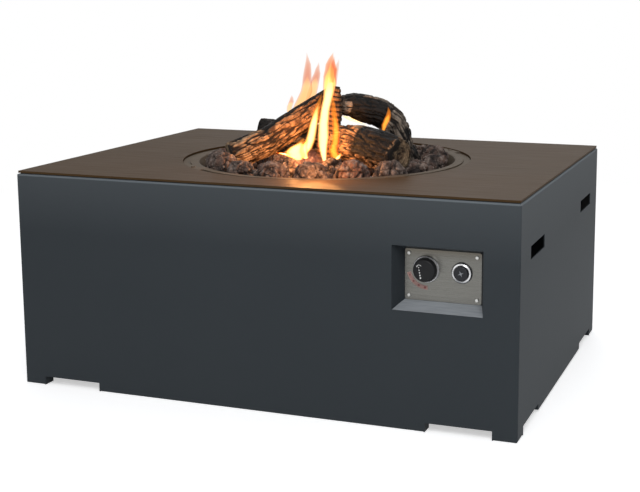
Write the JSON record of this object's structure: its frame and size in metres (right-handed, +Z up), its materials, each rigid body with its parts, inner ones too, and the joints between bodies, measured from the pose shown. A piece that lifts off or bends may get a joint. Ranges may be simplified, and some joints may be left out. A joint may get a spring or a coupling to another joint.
{
  "type": "fire pit table",
  "caption": "Low rectangular gas fire table: folded sheet body, flat top, round bowl of lava stones and ceramic logs, recessed panel with a gas knob and push igniter.",
  "frame": {"origin": "on the ground under the middle of the table body", "axes": "+X to the right seen from the control panel's side, along the table's length; +Y from the control panel's side to the back; +Z up"},
  "size_m": [1.06, 0.79, 0.6118],
  "materials": {
    "body_paint": "satin anthracite powder coat",
    "top_paint": "fine-grained taupe powder coat",
    "bowl_paint": "matte taupe heat-resistant paint",
    "inner_steel": "matte black paint",
    "zinc_steel": "zinc plated",
    "burner_steel": "heat-tinted",
    "brushed_plate": "brushed",
    "shield_sheet": "mill finish",
    "aluminium_tube": "drawn",
    "brass": "machined",
    "copper": "drawn copper",
    "chrome": "polished",
    "knob_plastic": "matte black",
    "button_plastic": "satin black",
    "battery_jacket": "printed sleeve, plain",
    "lead_sleeve": "heat-resistant silicone sleeve",
    "seal_rubber": "matte black",
    "ceramic": "glazed ceramic",
    "lava_stone": "porous volcanic stone, reddish brown to dark grey",
    "ceramic_log": "painted ceramic bark, charred in places"
  },
  "bodies": {
    "table": {"front_panel": "body_paint", "rear_panel": "body_paint", "left_side_panel": "body_paint", "right_side_panel": "body_paint", "corner_angles": "inner_steel", "panel_nuts": "zinc_steel", "table_top": "top_paint", "top_seal": "seal_rubber", "top_stiffeners": "inner_steel", "top_nuts": "zinc_steel", "burner_hangers": "inner_steel", "burner_bowl": "bowl_paint", "bowl_screws": "bowl_paint", "bowl_nuts": "zinc_steel", "burner_ring": "burner_steel", "burner_locknut": "brass", "air_mixer": "brass", "injector": "brass", "gas_pipe": "aluminium_tube", "pipe_nuts": "brass", "heat_shield": "shield_sheet", "shield_posts": "zinc_steel", "sensor_bracket": "zinc_steel", "sensor_nuts": "zinc_steel", "thermocouple": "copper", "thermocouple_lead": "copper", "spark_electrode": "ceramic", "ignition_lead": "lead_sleeve", "recess_box": "body_paint", "recess_box_nuts": "zinc_steel", "control_plate": "brushed_plate", "plate_screws": "zinc_steel", "knob_bezel": "chrome", "neck_nut": "zinc_steel", "valve_bonnet": "brass", "valve_body": "brass", "magnet_unit": "brass", "lead_nut": "brass", "gas_inlet": "brass", "igniter_bezel": "chrome", "igniter_housing": "knob_plastic", "igniter_nut": "knob_plastic", "igniter_spring": "zinc_steel", "igniter_battery": "battery_jacket", "pulse_unit": "knob_plastic", "lava_stones_outer": "lava_stone", "lava_stones_inner": "lava_stone", "log_long": "ceramic_log", "log_right": "ceramic_log", "log_bent": "ceramic_log", "log_back": "ceramic_log", "log_upright": "ceramic_log"},
    "plug": {"gas_plug": "brass", "spindle_spring": "zinc_steel"},
    "knob": {"control_knob": "knob_plastic", "valve_spindle": "burner_steel"},
    "button": {"igniter_button": "button_plastic"}
  },
  "joints": [
    {"name": "knob_turn", "type": "hinge", "parent": "table", "child": "plug", "pos_m": [0.343, -0.3275, 0.306], "axis": [0, -1, 0], "range_deg": [0, 180]},
    {"name": "knob_push", "type": "slide", "parent": "plug", "child": "knob", "axis": [0, 1, 0], "range_m": [0, 0.004], "stiffness_N_per_m": 1000, "springref_m": -0.004, "deforming": ["spindle_spring"]},
    {"name": "igniter_press", "type": "slide", "parent": "table", "child": "button", "axis": [0, 1, 0], "range_m": [0, 0.003], "stiffness_N_per_m": 1200, "springref_m": -0.003, "deforming": ["igniter_spring"]}
  ]
}
